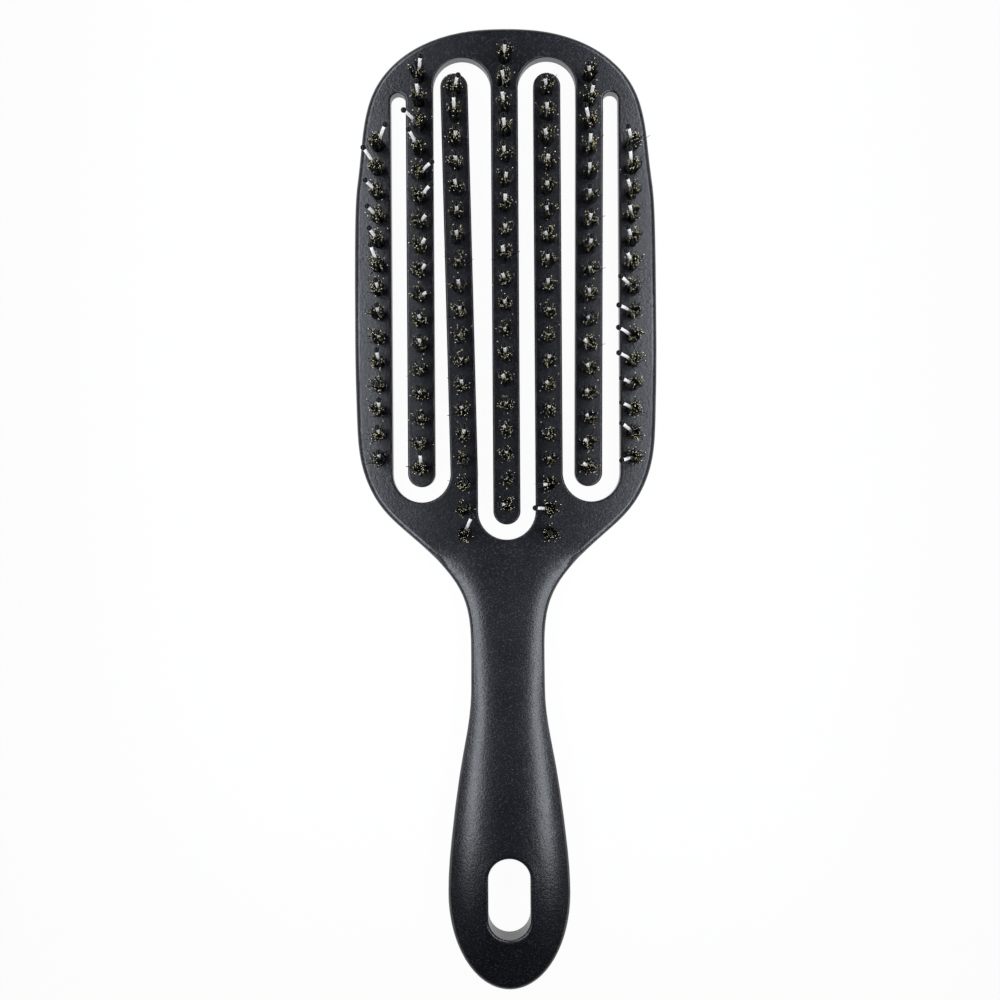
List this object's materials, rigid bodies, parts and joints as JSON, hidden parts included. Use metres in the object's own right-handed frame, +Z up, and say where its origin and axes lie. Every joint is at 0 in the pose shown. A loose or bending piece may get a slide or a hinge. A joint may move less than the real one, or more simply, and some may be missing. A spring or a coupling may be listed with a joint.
{
  "type": "hair brush",
  "caption": "Flat vented paddle brush: flexible fingers carry boar bristle tufts with ball-tipped pins, on a tapered handle with a hang hole.",
  "frame": {"origin": "On the surface the brush lies on, under the middle of its box, with the bristles up", "axes": "+X across to the right seen from the bristle side, +Y along the brush from handle to head, +Z up out of the bristle face"},
  "size_m": [0.0788, 0.25, 0.0219],
  "materials": {
    "moulding": "black moulded plastic with a fine spark-eroded texture",
    "bristle": "dark boar bristle with golden brown tips",
    "nylon_pin": "translucent white nylon",
    "ball_tip": "glossy black ball",
    "anchor_wire": "flat drawn wire"
  },
  "bodies": {
    "frame": {"paddle_frame": "moulding", "outer_left_flexure": "moulding", "inner_left_flexure": "moulding", "centre_flexure": "moulding", "inner_right_flexure": "moulding", "outer_right_flexure": "moulding", "left_rail_tufts": "bristle", "left_rail_pins": "nylon_pin", "left_rail_ball_tips": "ball_tip", "left_rail_anchors": "anchor_wire", "right_rail_tufts": "bristle", "right_rail_pins": "nylon_pin", "right_rail_ball_tips": "ball_tip", "right_rail_anchors": "anchor_wire", "crown_tufts": "bristle", "crown_pins": "nylon_pin", "crown_ball_tips": "ball_tip", "crown_anchors": "anchor_wire", "heel_tufts": "bristle", "heel_pins": "nylon_pin", "heel_ball_tips": "ball_tip", "heel_anchors": "anchor_wire"},
    "outer_left": {"outer_left_finger": "moulding", "outer_left_tufts": "bristle", "outer_left_pins": "nylon_pin", "outer_left_ball_tips": "ball_tip", "outer_left_anchors": "anchor_wire"},
    "inner_left": {"inner_left_finger": "moulding", "inner_left_tufts": "bristle", "inner_left_pins": "nylon_pin", "inner_left_ball_tips": "ball_tip", "inner_left_anchors": "anchor_wire"},
    "centre": {"centre_finger": "moulding", "centre_tufts": "bristle", "centre_pins": "nylon_pin", "centre_ball_tips": "ball_tip", "centre_anchors": "anchor_wire"},
    "inner_right": {"inner_right_finger": "moulding", "inner_right_tufts": "bristle", "inner_right_pins": "nylon_pin", "inner_right_ball_tips": "ball_tip", "inner_right_anchors": "anchor_wire"},
    "outer_right": {"outer_right_finger": "moulding", "outer_right_tufts": "bristle", "outer_right_pins": "nylon_pin", "outer_right_ball_tips": "ball_tip", "outer_right_anchors": "anchor_wire"}
  },
  "joints": [
    {"name": "outer_left_flex", "type": "hinge", "parent": "frame", "child": "outer_left", "pos_m": [-0.0222, 0.10264, 0.0025], "axis": [1, 0, 0], "range_deg": [-6, 6], "stiffness_Nm_per_rad": 2, "deforming": ["outer_left_flexure"]},
    {"name": "inner_left_flex", "type": "hinge", "parent": "frame", "child": "inner_left", "pos_m": [-0.0111, 0.0092, 0.0025], "axis": [-1, 0, 0], "range_deg": [-6, 6], "stiffness_Nm_per_rad": 2, "deforming": ["inner_left_flexure"]},
    {"name": "centre_flex", "type": "hinge", "parent": "frame", "child": "centre", "pos_m": [0, 0.10732, 0.0025], "axis": [1, 0, 0], "range_deg": [-6, 6], "stiffness_Nm_per_rad": 2, "deforming": ["centre_flexure"]},
    {"name": "inner_right_flex", "type": "hinge", "parent": "frame", "child": "inner_right", "pos_m": [0.0111, 0.0092, 0.0025], "axis": [-1, 0, 0], "range_deg": [-6, 6], "stiffness_Nm_per_rad": 2, "deforming": ["inner_right_flexure"]},
    {"name": "outer_right_flex", "type": "hinge", "parent": "frame", "child": "outer_right", "pos_m": [0.0222, 0.10264, 0.0025], "axis": [1, 0, 0], "range_deg": [-6, 6], "stiffness_Nm_per_rad": 2, "deforming": ["outer_right_flexure"]}
  ]
}
